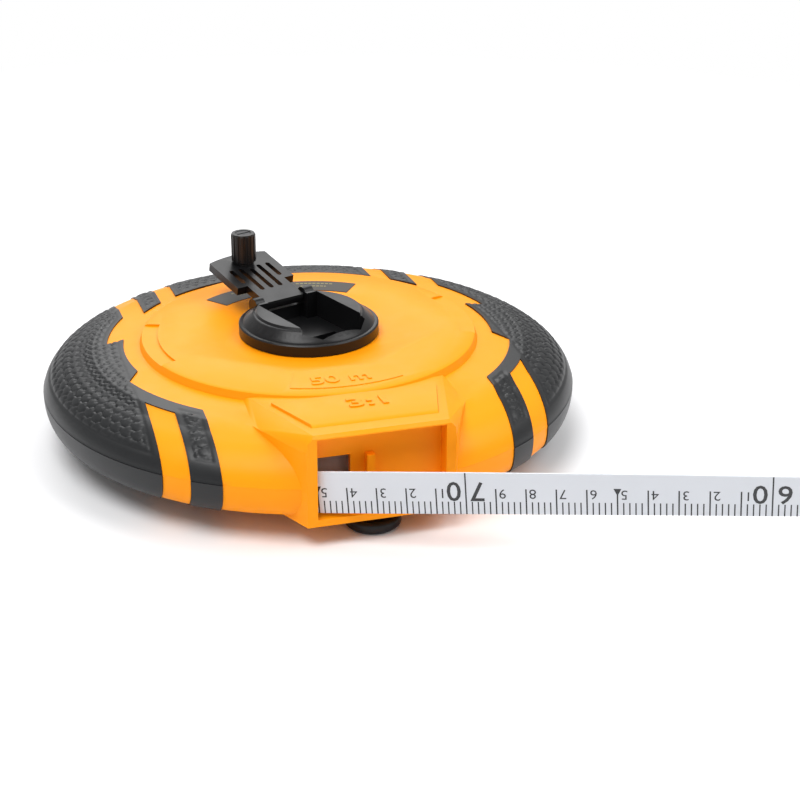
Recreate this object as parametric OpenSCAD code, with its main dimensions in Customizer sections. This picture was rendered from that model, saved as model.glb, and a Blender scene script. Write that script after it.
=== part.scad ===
// Surveyor's 50 m tape reel: closed two-shell case, geared 3:1 rewind, fold-out crank.
// The reel axis is Z, the mouth of the case faces -Y, and z = 0 is the surface it rests on.

/* [Case] */
// Radius of the case at the parting line
case_r = 100.6; // [98:0.2:112]
// Height of the parting line above the resting surface
seam_z = 21.5; // [20.5:0.5:27]
// Wall thickness of the two shells
wall = 2.5; // [2:0.1:3]
// Height of the upper shell above the parting line, at its raised disc
upper_h = 18.4; // [18:0.2:22]
// Depth of the lower shell below the parting line
lower_h = 13.5; // [12.8:0.1:16]
// Radius of the raised disc on top
disc_r = 63.2; // [58:0.2:66]
// Width of the rounded side, from its crease to the rim
side_w = 14.4; // [13:0.2:16]

/* [Mouth] */
// How far the mouth's flat face lies inside the rim
face_inset = 1.1; // [0:0.1:3]
// Half the width of the mouth's face
face_half_w = 26.2; // [25.5:0.1:30]
// Half the width of the mouth's window
window_half_w = 22.6; // [21:0.1:23]
// Height of the window's top edge above the parting line
window_top = 18.6; // [17:0.1:19]
// Depth of the recess behind the window
recess_depth = 6.2; // [5:0.1:6.5]
// Reach of the nose from its face back to where its walls leave the shoulder
nose_len = 28.5; // [26:0.5:31]
// Width of the tape slot at the left end of the recess
slot_w = 13; // [10:0.5:16]

/* [Grips] */
// How far the rubber grips stand proud of the case
grip_proud = 0.4; // [0.2:0.1:0.8]
// Depth of the grips' seat in the case
grip_depth = 1.1; // [0.8:0.1:1.4]
// Width of the grips from the rim inwards
grip_w = 24.1; // [21:0.1:25]
// Width at the pointed middle of each side grip
grip_point_w = 30.3; // [28:0.1:33]

/* [Tape] */
// Width of the tape
tape_w = 16; // [13:0.5:16]
// Thickness of the tape
tape_t = 0.5; // [0.4:0.05:0.7]
// How far the wound tape lies inside the edge of the flanges
wound_inset = 2.5; // [2:0.5:30]

/* [Drum] */
// Outer radius of the drum's core
core_r = 31; // [30:0.5:34]
// Wall thickness of the drum's core
core_wall = 2.6; // [2:0.2:2.8]
// Clearance of the flanges from the screw bosses
flange_clear = 2.5; // [2:0.1:4]
// Thickness of the drum's flanges
flange_t = 1.2; // [1:0.1:1.4]

/* [Gears] */
// Gear module
gear_m = 1; // [0.98:0.01:1.01]
// Face width of the gears
gear_w = 5; // [3.5:0.25:5]
// Play between the teeth
gear_play = 0.3; // [0.2:0.05:0.5]

/* [Crank] */
// Radius of the crank hub's skirt
hub_r = 26.6; // [26.4:0.1:29]
// Height of the hub's top above the parting line
hub_top = 26.2; // [25.8:0.1:28]
// Angle of the unfolded crank from the back of the case
crank_az = 19.5; // [0:0.5:45]
// Half the width of the recess that the folded crank lies in
bay_half_w = 13.4; // [13.3:0.1:14]
// Distance of the crank's hinge from the reel axis
hinge_r = 18.6; // [18.2:0.1:19]
// Length of the crank arm from its hinge
arm_len = 35.2; // [33:0.2:35.4]
// Half the width of the crank arm's blade
arm_half_w = 12.9; // [11.5:0.1:12.9]
// Half the width of the crank arm's neck
neck_half_w = 8.5; // [7.5:0.1:8.5]
// Thickness of the crank arm
arm_t = 3.2; // [2.8:0.1:3.4]
// Rise of the crank arm in degrees
arm_rise = 11.3; // [9:0.1:12]
// Distance of the knob from the hinge
knob_reach = 27.2; // [26:0.2:27.4]
// Radius of the knob
knob_r = 4.9; // [4.2:0.1:5]
// Height of the knob
knob_h = 12; // [10:0.2:12.2]

/* [Foot] */
// Distance of the foot button behind the mouth's face
foot_back = 12.5; // [11:0.5:16]
// Radius of the foot button
foot_r = 10; // [7:0.2:11]
// Outer radius of the resting ring under the case
rest_r = 46; // [40:0.5:52]

/* [Hidden] */
$fn = 96;

orange = [0.98, 0.58, 0.09];
black = [0.13, 0.13, 0.14];
steel = [0.72, 0.73, 0.75];
run = 0.1;                     // running clearance of shafts and bores
gap = 0.3;                     // clearance between loose neighbours
far = 300;                     // longer than anything it cuts

// ---- case profile, as [radius, height above the parting line] ----
side_steps = 9;
crease_r = case_r - side_w;
face_y = case_r - face_inset;
foot_y = face_y - foot_back;
side_c = case_r - 22.6;        // centre of the elliptical side of the upper shell
side_drop = 2;                 // how far that centre lies below the parting line
crease_z = upper_h - 6.2;
side_b = (crease_z + side_drop) / sqrt(1 - pow((crease_r - side_c) / 22.7, 2));
side_start = asin((crease_z + side_drop) / side_b);
side_end = asin(side_drop / side_b);
function side_point(k, inset) = let (a = side_start + (side_end - side_start) * k / side_steps)
    [side_c + (22.7 - inset) * cos(a), max(0, (side_b - inset) * sin(a) - side_drop)];
function upper_side(inset) = [for (k = [0 : side_steps]) side_point(k, inset)];

belly_r = 12.6;                // radial size of the rounded lower edge
belly_power = 2 / 2.6;
function belly_point(k, inset) = let (a = 90 * k / side_steps)
    [case_r - belly_r + (belly_r - inset) * pow(cos(a), belly_power),
     -(lower_h - inset) * pow(sin(a), belly_power)];
function lower_side(inset) = [for (k = [0 : side_steps]) belly_point(k, inset)];

valley_z = upper_h - 3.3;      // foot of the raised disc's edge
dish_r = 38.6;                 // rim of the shallow dish round the hub
dish_z = upper_h - 1.4;
upper_outline = concat([[0, dish_z], [dish_r - 3, dish_z], [dish_r, upper_h],
    [disc_r - 1.2, upper_h], [disc_r, upper_h - 0.6], [disc_r + 1, valley_z],
    [crease_r - 4.4, valley_z - 1]], upper_side(0), [[0, 0]]);
upper_cavity = concat([[0, dish_z - wall], [disc_r - 3, dish_z - wall],
    [disc_r - 1, valley_z - wall], [crease_r - 5.4, valley_z - 1 - wall]],
    upper_side(wall), [[0, -1]]);
step_r = disc_r + 2;           // stepped disc under the case
step_z = -lower_h - 3;
lower_outline = concat([[0, 0]], lower_side(0), [[step_r, -lower_h], [step_r - 2, step_z],
    [rest_r + 1, step_z], [rest_r, -seam_z], [rest_r - 6, -seam_z], [rest_r - 7.5, step_z],
    [0, step_z]]);
lower_cavity = concat([[0, 1]], lower_side(wall), [[0, wall - lower_h]]);
floor_z = wall - lower_h;

module at_seam() { translate([0, 0, seam_z]) children(); }
module revolve(points) { rotate_extrude() polygon(points); }
module crank_frame() { at_seam() rotate([0, 0, crank_az]) children(); }

// ---- nose that carries the mouth ----
nose_back = face_y - nose_len;
nose_back_half = face_half_w + 12.8;
roof_back = face_y - 44.5;
roof_back_half = face_half_w + 9.3;
roof_front_z = window_top + 1.7;
roof_back_z = upper_h - 1.6;
eave_z = crease_z + 1.9;
inner_wall_y = face_y - recess_depth - wall;
panel_half_front = face_half_w - 3.9;
panel_half_back = face_half_w + 3.8;
panel_front = face_y - 7.9;
panel_back = face_y - 35;
roof_slope = atan((roof_front_z - roof_back_z) / (face_y - roof_back));

module nose_plan() {
    polygon([[-face_half_w, -face_y], [face_half_w, -face_y], [nose_back_half, -nose_back],
        [nose_back_half, -roof_back + 10], [-nose_back_half, -roof_back + 10],
        [-nose_back_half, -nose_back]]);
}
module nose_top() {
    hull() {
        translate([0, 0, eave_z - 1]) linear_extrude(0.01) nose_plan();
        for (s = [-1, 1]) {
            translate([s * (face_half_w - 0.4), -face_y, roof_front_z - 2.9]) nose_corner();
            translate([s * (face_half_w - 1.9), -face_y, roof_front_z - 1.2]) nose_corner();
            translate([s * (face_half_w - 2.5), 1 - face_y, roof_front_z - 0.1]) nose_corner();
            translate([s * roof_back_half, -roof_back, roof_back_z]) nose_corner();
        }
    }
}
module nose_corner() { translate([0, 0, -0.01]) cylinder(r = 0.01, h = 0.01, $fn = 4); }
module roof_panel() {
    // Raised panel on the sloping roof, with a bevelled front edge.
    translate([0, -face_y, roof_front_z]) rotate([-roof_slope, 0, 0]) hull() {
        linear_extrude(0.01) panel_plan(0);
        translate([0, 0, 0.9]) linear_extrude(0.01) panel_plan(1.3);
        translate([0, 0, -0.6]) linear_extrude(0.01) panel_plan(0);
    }
}
module panel_plan(inset) {
    polygon([[-panel_half_front, face_y - panel_front + inset],
        [panel_half_front, face_y - panel_front + inset],
        [panel_half_back, face_y - panel_back], [-panel_half_back, face_y - panel_back]]);
}
slot_low = floor_z + 0.4;
slot_high = tape_w / 2 + 1.2;
module recess() {
    // The open recess of the mouth, and the tape slot through its back wall.
    translate([-window_half_w, -far, floor_z])
        cube([2 * window_half_w, far - face_y + recess_depth, window_top - floor_z]);
    translate([-window_half_w, -inner_wall_y - wall - 1, slot_low])
        cube([slot_w, wall + 2, slot_high - slot_low]);
    lead_frame() translate([lead_len - 9.6, -tape_t - 1.05, slot_low])
        cube([10.8, tape_t + 4, lead_slot_h]);
}
nose_lean = (nose_back_half - face_half_w) / nose_len;
nose_wall = wall * sqrt(1 + nose_lean * nose_lean);
nose_room_half = face_half_w + nose_lean * (face_y - inner_wall_y) - nose_wall;
module drum_room(points) {
    // Inside of the case and of the nose, closed off behind the mouth.
    difference() {
        revolve(points);
        translate([-far / 2, -inner_wall_y - far, -far / 2]) cube([far, far, far]);
    }
    translate([0, 0, floor_z]) linear_extrude(eave_z - 1.6 - floor_z)
        polygon([[-nose_room_half, -inner_wall_y], [nose_room_half, -inner_wall_y],
            [nose_back_half - nose_wall, -nose_back], [nose_back_half - nose_wall, 12 - nose_back],
            [nose_wall - nose_back_half, 12 - nose_back], [nose_wall - nose_back_half, -nose_back]]);
}

// ---- the six rubber grips, in plan ----
grip_inner_r = case_r - grip_w;
grip_point_r = case_r - grip_point_w;
grip_start = grip_point_r;     // side grip, from the axis of the nose
stripe_out = grip_start - 8.5; // front stripe
stripe_in = stripe_out - 9.5;
back_start = grip_start - 5.3; // the side grip's edge at the back
block_out = back_start - 8.7;  // small block at the back
block_in = block_out - 8.3;
back_half = block_in - 7;
band_w = 5.6;
point_half_angle = 13;         // half the spread of the point at its inner edge
point_front_lean = 5;          // how far its edges lean forwards over the grip's width, in degrees
point_back_lean = 2.6;
function on_ring(r, a) = [r * cos(a), r * sin(a)];
module ring(r_in, r_out) { difference() { circle(r_out); circle(r_in); } }
module half_strip(x_in, x_out, front) {
    translate([x_in, front ? -far : 0]) square([x_out - x_in, far]);
}
module side_grip_plan() {
    intersection() {
        ring(grip_inner_r, case_r + 5);
        union() {
            half_strip(stripe_in, stripe_out, true);
            half_strip(grip_start, far, true);
            half_strip(back_start, far, false);
        }
    }
    intersection() {
        ring(grip_inner_r, grip_inner_r + band_w);
        half_strip(stripe_in, far, true);
    }
    intersection() {
        ring(grip_point_r, case_r + 5);
        half_strip(block_in, block_out, false);
    }
    intersection() {
        ring(grip_point_r, grip_inner_r + 0.1);
        polygon([on_ring(grip_point_r, point_half_angle),
            on_ring(grip_inner_r + 0.1, point_half_angle - point_back_lean),
            on_ring(grip_inner_r + 9, 0),
            on_ring(grip_inner_r + 0.1, -point_half_angle - point_front_lean),
            on_ring(grip_point_r, -point_half_angle), on_ring(grip_point_r - 9, 0)]);
    }
}
module back_grip_plan() {
    intersection() {
        ring(grip_point_r, case_r + 5);
        translate([-back_half, 0]) square([2 * back_half, far]);
    }
}
module upper_skin() {
    // Band between the grips' outer face and their seat, over the upper shell.
    outer = upper_side(-grip_proud);
    seat = upper_side(grip_depth);
    revolve(concat([[grip_point_r - 1, valley_z + grip_proud]],
        [[crease_r - 4.4, valley_z - 1 + grip_proud]], outer,
        [for (k = [side_steps : -1 : 0]) seat[k]],
        [[crease_r - 4.4, valley_z - 1 - grip_depth], [grip_point_r - 1, valley_z - grip_depth]]));
}
module lower_skin() {
    outer = lower_side(-grip_proud);
    seat = lower_side(grip_depth);
    revolve(concat(outer, [[grip_point_r - 1, -lower_h - grip_proud]],
        [[grip_point_r - 1, -lower_h + grip_depth]], [for (k = [side_steps : -1 : 0]) seat[k]]));
}
module side_grip(upper) {
    at_seam() intersection() {
        if (upper) upper_skin(); else lower_skin();
        translate([0, 0, -far / 2]) linear_extrude(far) side_grip_plan();
    }
}
module back_grip(upper) {
    at_seam() intersection() {
        if (upper) upper_skin(); else lower_skin();
        translate([0, 0, -far / 2]) linear_extrude(far) back_grip_plan();
    }
}
module all_grips(upper) {
    side_grip(upper);
    mirror([1, 0, 0]) side_grip(upper);
    back_grip(upper);
}
module left_grip_upper() { color(black) mirror([1, 0, 0]) side_grip(true); }
module right_grip_upper() { color(black) side_grip(true); }
module back_grip_upper() { color(black) back_grip(true); }
module left_grip_lower() { color(black) mirror([1, 0, 0]) side_grip(false); }
module right_grip_lower() { color(black) side_grip(false); }
module back_grip_lower() { color(black) back_grip(false); }

// ---- shells ----
bearing_r = hub_r - 0.9;       // hole that the crank hub turns in
screw_r = case_r - 12;        // pitch radius of the case screws
boss_r = 3.6;
screw_x = [(stripe_out + grip_start) / 2, (block_out + back_start) / 2];
module at_screws() {
    for (side = [-1, 1], end = [0, 1])
        translate([side * screw_x[end], (2 * end - 1) * sqrt(pow(screw_r, 2) - pow(screw_x[end], 2)), 0])
            children();
}
arc_gap_r = disc_r - 5.9;
module side_relief() {
    // Shallow step at each side of the raised disc.
    for (s = [0, 180]) rotate([0, 0, s]) translate([0, 0, upper_h - 0.8])
        intersection() {
            linear_extrude(3) ring(arc_gap_r, disc_r + 2);
            linear_extrude(3) polygon([[0, 0], far * [cos(18), sin(18)],
                far * [cos(20), -sin(20)]]);
        }
}
module capacity_panel() {
    translate([0, 0, upper_h - 0.1]) linear_extrude(0.4) intersection() {
        ring(44.1, 58.4);
        polygon([[0, 0], far * [-sin(20.9), -cos(20.9)], far * [sin(20.9), -cos(20.9)]]);
    }
}
module upper_shell() {
    color(orange) difference() {
        at_seam() union() {
            difference() {
                union() {
                    difference() { revolve(upper_outline); side_relief(); }
                    linear_extrude(eave_z) nose_plan();
                    nose_top();
                    roof_panel();
                }
                drum_room(upper_cavity);
                recess();
            }
            capacity_panel();
            intersection() {
                screw_bosses(crease_z, true);
                revolve(upper_outline);
            }
            translate([-4.5, -face_y + recess_depth - 3.2, floor_z]) guide_fin();
        }
        at_seam() cylinder(r = bearing_r, h = far);
        all_grips(true);
        at_seam() at_screws() translate([0, 0, -1]) cylinder(r = 1.25, h = 7.5);
    }
}
module guide_fin() {
    // Upper half of the fin that steers the tape, right of the slot.
    translate([0, 0, -floor_z]) cube([2.8, 4, 9.4]);
}
module screw_bosses(h, upper) {
    at_screws() translate([0, 0, upper ? 0 : -h]) cylinder(r = boss_r, h = h);
}
axle_r = 4;
axle_foot_z = step_z + 3;
head_room = 1.2;
module lower_shell() {
    color(orange) difference() {
        at_seam() union() {
            difference() {
                union() {
                    revolve(lower_outline);
                    translate([0, 0, -lower_h]) linear_extrude(lower_h) nose_plan();
                }
                drum_room(lower_cavity);
                recess();
            }
            screw_bosses(lower_h - wall + 0.1, false);
            translate([0, 0, floor_z - 0.1]) cylinder(r = 9, h = 0.7);
        }
        at_seam() {
            translate([0, 0, axle_foot_z]) cylinder(r = axle_r, h = far);
            translate([0, 0, -far]) cylinder(r = 1.7, h = far);
            translate([0, 0, step_z - far]) cylinder(r = 5, h = far + head_room);
            at_screws() translate([0, 0, -far]) {
                cylinder(r = 1.3, h = 2 * far);
                cylinder(r = 3.2, h = far - lower_h + 2.6);
            }
            translate([0, -foot_y, -far]) cylinder(r = 2.05, h = 2 * far);
        }
        all_grips(false);
    }
}
module case_screws() {
    color(steel) at_seam() at_screws()
        translate([0, 0, -lower_h + 2.6]) difference() {
            union() {
                translate([0, 0, -2]) cylinder(r = 2.9, h = 2);
                cylinder(r = 1.2, h = lower_h + 3);
            }
            for (t = [0, 90]) rotate([0, 0, t]) translate([-1.8, -0.3, -2.1]) cube([3.6, 0.6, 1.2]);
        }
}
module top_label() {
    color([0.35, 0.33, 0.31]) at_seam() translate([0, 0, upper_h]) linear_extrude(0.25)
        intersection() {
            ring(40.6, 51.2);
            polygon([[0, 0], far * [-sin(38), cos(38)], far * [-0.3, 1], far * [0.3, 1],
                far * [sin(36), cos(36)]]);
        }
}

// ---- crank ----
pin_z = hub_top - 1.8;
pocket_half_w = knob_r + 4.6;
bay_floor = pin_z - 8.6;
pocket_floor = pin_z - (knob_h + 9.1);
hub_bottom = pocket_floor - 1.6;
gear_top = -2.5;
tube_in = hub_r - 3;
module crank_hub() {
    color(black) crank_frame() difference() {
        union() {
            revolve([[0, hub_bottom], [bearing_r - run, hub_bottom],
                [bearing_r - run, dish_z + gap], [hub_r, dish_z + gap], [hub_r, dish_z + 4.2],
                [hub_r - 0.5, dish_z + 4.6], [hub_r - 1.6, dish_z + 4.6],
                [hub_r - 1.9, dish_z + 5.2], [21.4, hub_top - 1.4], [21, hub_top - 1],
                [20.4, hub_top - 0.9], [19.8, hub_top], [0, hub_top]]);
            translate([0, 0, gear_top]) linear_extrude(hub_bottom - gear_top)
                ring(tube_in, bearing_r - run);
            for (s = [-1, 1]) translate([s * 11.2, hinge_r, pin_z]) rotate([0, 90, 0])
                cylinder(r = 3, h = 4, center = true);
        }
        // bay for the folded arm, slot for its neck, and the knob's pocket
        translate([-bay_half_w, -knob_bay_y, bay_floor])
            cube([2 * bay_half_w, knob_bay_y + hinge_r - 4.4, far]);
        translate([-neck_half_w - 0.4, 0, bay_floor]) cube([2 * neck_half_w + 0.8, hinge_r - 0.6, far]);
        translate([-neck_half_w - 0.4, 0, pin_z - 3.4]) cube([2 * neck_half_w + 0.8, far, far]);
        knob_pocket();
        finger_bay();
        translate([0, hinge_r, pin_z]) rotate([0, 90, 0]) cylinder(r = 1.05, h = 25.2, center = true);
        difference() {
            translate([0, 0, hub_bottom - 0.1]) cylinder(r = tube_in, h = bay_floor - 2.4 - hub_bottom);
            pocket_wall();
        }
    }
}
knob_bay_y = 15.4;
module pocket_side(r_extra) {
    // Side outline of the room that the knob sweeps through, in [along, height].
    polygon([[-14.4 - r_extra, pocket_floor - r_extra], [-3.2 + r_extra, pocket_floor - r_extra],
        [-3.2 + r_extra, hub_top + 1], [-20.4 - r_extra, hub_top + 1],
        [-20.2 - r_extra, pin_z - 4], [-18 - r_extra, pin_z - 13]]);
}
module knob_pocket() {
    rotate([90, 0, 90]) linear_extrude(2 * pocket_half_w, center = true) pocket_side(0);
}
module pocket_wall() {
    rotate([90, 0, 90]) linear_extrude(2 * pocket_half_w + 3.2, center = true) pocket_side(1.6);
}
module finger_bay() {
    // Six-sided finger recess in front of the bay.
    translate([0, 0, bay_floor]) linear_extrude(far)
        polygon([[-12.4, -14.6], [12.4, -14.6], [14.2, -17], [8.6, -22.3], [-8.6, -22.3],
            [-14.2, -17]]);
}
module hub_retaining_ring() {
    color(black) at_seam() translate([0, 0, dish_z - wall - 1.9]) linear_extrude(1.6)
        ring(bearing_r - run + 0.03, bearing_r + 4);
}
module arm_hinge_pin() {
    color(steel) crank_frame() translate([0, hinge_r, pin_z]) rotate([0, 90, 0])
        cylinder(r = 1, h = 25, center = true);
}
module arm_plan() {
    // Outline of the arm in its own plane, from the hinge outwards.
    difference() {
        union() {
            translate([-neck_half_w, -2.2]) square([2 * neck_half_w, 15]);
            intersection() {
                translate([-arm_half_w, 11.8]) square([2 * arm_half_w, arm_len]);
                translate([0, arm_len - 40]) circle(40);
            }
        }
        for (k = [-2 : 2]) arm_slot(k * 4.15, abs(k) == 2 ? 14.2 : 7, k == 0 ? slot_end - 1.6 : slot_end);
    }
}
slot_end = knob_reach - 3.4;
module arm_slot(x, start, end) {
    for (y = [start + 0.9, end]) translate([x, y]) circle(0.95, $fn = 12);
    translate([x - 0.95, start + 0.9]) square([1.9, end - start - 0.9]);
}
module arm_barrel() {
    // Hinge barrel, cut off just under the arm's upper face.
    intersection() {
        rotate([0, 90, 0]) cylinder(r = 2.6, h = 2 * neck_half_w - 0.6, center = true);
        rotate([arm_rise, 0, 0]) translate([-far / 2, -far / 2, arm_t / 2 - 0.1 - far]) cube(far);
    }
}
knob_base = knob_reach * tan(arm_rise) + 2.2;
module crank_arm() {
    color(black) crank_frame() translate([0, hinge_r, pin_z]) difference() {
        union() {
            rotate([arm_rise, 0, 0]) translate([0, 0, -arm_t / 2]) linear_extrude(arm_t) arm_plan();
            arm_barrel();
            translate([0, knob_reach, knob_base - 2]) cylinder(r = knob_r - 1.1, h = 2);
        }
        rotate([0, 90, 0]) cylinder(r = 1.1, h = 40, center = true);
        translate([0, knob_reach, -20]) cylinder(r = 1.5, h = 60);
    }
}
module knob_pin() {
    color(steel) crank_frame() translate([0, hinge_r + knob_reach, pin_z + knob_base]) difference() {
        union() {
            translate([0, 0, -5.6]) cylinder(r = 1.45, h = knob_h + 4);
            translate([0, 0, knob_h - 1.7]) cylinder(r = 3, h = 1.5);
        }
        translate([-3.5, -0.4, knob_h - 0.9]) cube([7, 0.8, 2]);
    }
}
module crank_knob() {
    ribs = 14;
    color(black) crank_frame() translate([0, hinge_r + knob_reach, pin_z + knob_base + gap])
        difference() {
            union() {
                cylinder(r1 = knob_r - 0.5, r2 = knob_r - 0.35, h = knob_h - gap);
                for (k = [0 : ribs - 1]) rotate([0, 0, k * 360 / ribs])
                    translate([knob_r - 1, -0.55, 0.4]) cube([0.95, 1.1, knob_h - gap - 0.9]);
            }
            translate([0, 0, -1]) cylinder(r = 1.55, h = far);
            translate([0, 0, knob_h - gap - 1.8]) cylinder(r = 3.1, h = far);
        }
}

// ---- gears ----
sun_n = 15;
planet_n = 15;
ring_n = sun_n + 2 * planet_n;
planet_c = gear_m * (sun_n + planet_n) / 2;
gear_z = gear_top - gear_w;
function inv(a) = tan(a) * 180 / PI - a;
function flank(rb, r) = let (a = acos(min(1, rb / r))) inv(a);
function polar(r, a) = [r * cos(a), r * sin(a)];
function tooth_half(n, r, play) = let (rp = gear_m * n / 2, rb = rp * cos(20))
    90 / n - play / 2 / rp * 180 / PI / 2 + inv(20) - flank(rb, max(r, rb));
function gear_points(n, r_root, r_tip, play) = [for (k = [0 : n - 1])
    let (c = k * 360 / n, rs = [r_root, gear_m * n / 2 - 0.4 * gear_m, gear_m * n / 2, r_tip])
    each concat([for (r = rs) polar(r, c - tooth_half(n, r, play))],
        [for (i = [3 : -1 : 0]) polar(rs[i], c + tooth_half(n, rs[i], play))])];
module spur(n, play) {
    polygon(gear_points(n, gear_m * (n / 2 - 1.05), gear_m * (n / 2 + 0.8), play));
}
module ring_gear() {
    color([0.9, 0.9, 0.86]) crank_frame() translate([0, 0, gear_z])
        linear_extrude(gear_w) difference() {
            circle(bearing_r - run);
            rotate([0, 0, -crank_az])
                polygon(gear_points(ring_n, gear_m * (ring_n / 2 - 0.8),
                    gear_m * (ring_n / 2 + 1.05), -gear_play));
        }
}
module planet_gear(k) {
    color([0.9, 0.9, 0.86]) at_seam() rotate([0, 0, k * 120]) translate([planet_c, 0, gear_z])
        linear_extrude(gear_w) difference() {
            spur(planet_n, gear_play);
            circle(2.1);
        }
}
module planet_gear_1() { planet_gear(0); }
module planet_gear_2() { planet_gear(1); }
module planet_gear_3() { planet_gear(2); }
web_z = floor_z + 1.3;
web_t = 1.8;
module sun_gear() {
    color([0.9, 0.9, 0.86]) at_seam() translate([0, 0, web_z + web_t]) linear_extrude(gear_z - web_z - web_t + gear_w)
        difference() {
            spur(sun_n, gear_play);
            circle(axle_r + run);
        }
}
carrier_z = gear_top + 0.4;
carrier_t = 1.8;
module planet_carrier() {
    color([0.55, 0.56, 0.58]) at_seam() translate([0, 0, carrier_z]) linear_extrude(carrier_t)
        difference() {
            circle(planet_c + 5.4);
            circle(axle_r + 0.02);
            for (k = [0 : 2]) rotate([0, 0, k * 120]) {
                translate([planet_c, 0]) circle(2.02);
                rotate([0, 0, 60]) translate([planet_c - 2, 0]) circle(3.6);
            }
        }
}
module planet_posts() {
    color(steel) at_seam() for (k = [0 : 2]) rotate([0, 0, k * 120])
        translate([planet_c, 0, gear_z + 0.1]) cylinder(r = 2, h = carrier_z + carrier_t - gear_z - 0.1);
}
module centre_axle() {
    color(steel) at_seam() difference() {
        translate([0, 0, axle_foot_z]) cylinder(r = axle_r - 0.02, h = carrier_z + carrier_t - axle_foot_z);
        translate([0, 0, axle_foot_z - 1]) cylinder(r = 1.6, h = 8);
        translate([0, 0, carrier_z + carrier_t - 6]) cylinder(r = 1.6, h = 8);
    }
}
module carrier_screw() {
    color(steel) at_seam() translate([0, 0, carrier_z + carrier_t]) difference() {
        union() {
            cylinder(r = 5.4, h = 1);
            translate([0, 0, -5]) cylinder(r = 1.5, h = 5.5);
        }
        translate([-3, -0.4, 0.5]) cube([6, 0.8, 1]);
    }
}
module axle_screw() {
    color(steel) at_seam() translate([0, 0, step_z + head_room]) difference() {
        union() {
            translate([0, 0, -1.1]) cylinder(r = 4.6, h = 1.1);
            translate([0, 0, -0.5]) cylinder(r = 1.5, h = 6);
        }
        translate([-3, -0.4, -1.7]) cube([6, 0.8, 1.2]);
    }
}
module thrust_washer() {
    color([0.8, 0.66, 0.3]) at_seam() translate([0, 0, floor_z + 0.6]) linear_extrude(0.6)
        ring(axle_r + 0.05, 8.4);
}

// ---- drum and tape ----
half_tape = tape_w / 2 + 0.8;
flange_r = screw_r - boss_r - flange_clear;
wound_r = flange_r - wound_inset;
module drum_core() {
    color([0.2, 0.2, 0.22]) at_seam() {
        translate([0, 0, web_z]) linear_extrude(web_t) ring(axle_r + run, core_r);
        translate([0, 0, web_z + web_t - 0.01]) linear_extrude(half_tape - web_z - web_t + flange_t)
            ring(core_r - core_wall, core_r);
    }
}
module drum_upper_flange() {
    color([0.2, 0.2, 0.22]) at_seam() translate([0, 0, half_tape]) linear_extrude(flange_t)
        flange_plan();
}
module drum_lower_flange() {
    color([0.2, 0.2, 0.22]) at_seam() translate([0, 0, -half_tape - flange_t])
        linear_extrude(flange_t) flange_plan();
}
module flange_plan() {
    difference() {
        ring(core_r, flange_r);
        for (k = [0 : 5]) rotate([0, 0, k * 60]) translate([(core_r + flange_r) / 2, 0])
            circle((flange_r - core_r) / 3.4);
    }
}
module wound_tape() {
    color([0.93, 0.93, 0.93]) at_seam() translate([0, 0, -tape_w / 2]) linear_extrude(tape_w)
        ring(core_r, wound_r);
}

// Lower edge of the free tape where it leaves the mouth, its heading and its rise.
exit_point = [0.6 - window_half_w, 3.5 - face_y, floor_z + 1.1];
heading = 24.2;
rise = 3.5;
lean_end = 12;
free_len = 168;
// Distances of the route's points from the exit.
route = [0, 12, 24, 36, 48, 60, 72, 84, 96, 108, 120, 132, 144, 156, 168];
tape_dir = [cos(rise) * cos(heading), -cos(rise) * sin(heading), sin(rise)];
tape_side = [sin(heading), cos(heading), 0];
function lean_at(s) = 3 + (lean_end - 3) * pow(s / free_len, 2);
function tape_up(s) = let (u = cross(tape_side, tape_dir), a = lean_at(s))
    -cos(a) * u - sin(a) * tape_side;
function tape_ring(s) = let (p = exit_point + s * tape_dir, u = tape_up(s),
        n = cross(u, tape_dir) * tape_t / 2, e = 0.15)
    [p + e * u - 0.5 * n, p + e * u + 0.5 * n, p + 2 * e * u + n, p + (tape_w - 2 * e) * u + n,
     p + (tape_w - e) * u + 0.5 * n, p + (tape_w - e) * u - 0.5 * n,
     p + (tape_w - 2 * e) * u - n, p + 2 * e * u - n];
module sweep(rings) {
    n = len(rings);
    m = len(rings[0]);
    polyhedron([for (r = rings) each r], concat(
        [[for (j = [0 : m - 1]) j]],
        [for (i = [0 : n - 2], j = [0 : m - 1])
            [i * m + j, (i + 1) * m + j, (i + 1) * m + (j + 1) % m, i * m + (j + 1) % m]],
        [[for (j = [m - 1 : -1 : 0]) (n - 1) * m + j]]));
}
module tape_blade() {
    color([0.95, 0.95, 0.95]) at_seam() sweep([for (s = route) tape_ring(s)]);
}
// Straight run inside the case, tangent to the coil, that ends where the free tape starts.
lead_r = wound_r + gap;
lead_len = sqrt(pow(norm([exit_point.x, exit_point.y]), 2) - pow(lead_r, 2));
lead_turn = atan2(-lead_r, lead_len) - atan2(exit_point.y, exit_point.x);
lead_drop = atan((exit_point.z + tape_w / 2) / lead_len);
module lead_frame() { rotate([0, 0, -lead_turn]) translate([0, -lead_r, 0]) children(); }
module tape_lead() {
    color([0.95, 0.95, 0.95]) at_seam() lead_frame() rotate([0, -lead_drop, 0])
        translate([0, -tape_t, -tape_w / 2]) cube([lead_len - 0.2, tape_t, tape_w]);
}
lead_slot_h = exit_point.z + tape_w + 1.2 - slot_low;
pad_h = lead_slot_h - 0.4;
module wiper_pads() {
    color([0.4, 0.08, 0.06]) at_seam() lead_frame() {
        translate([lead_len - 7.4, 0.3, slot_low]) cube([4, 2.6, pad_h]);
        translate([lead_len - 7.4, -tape_t - 1.05, slot_low]) cube([4, 0.75, pad_h]);
    }
}

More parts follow.
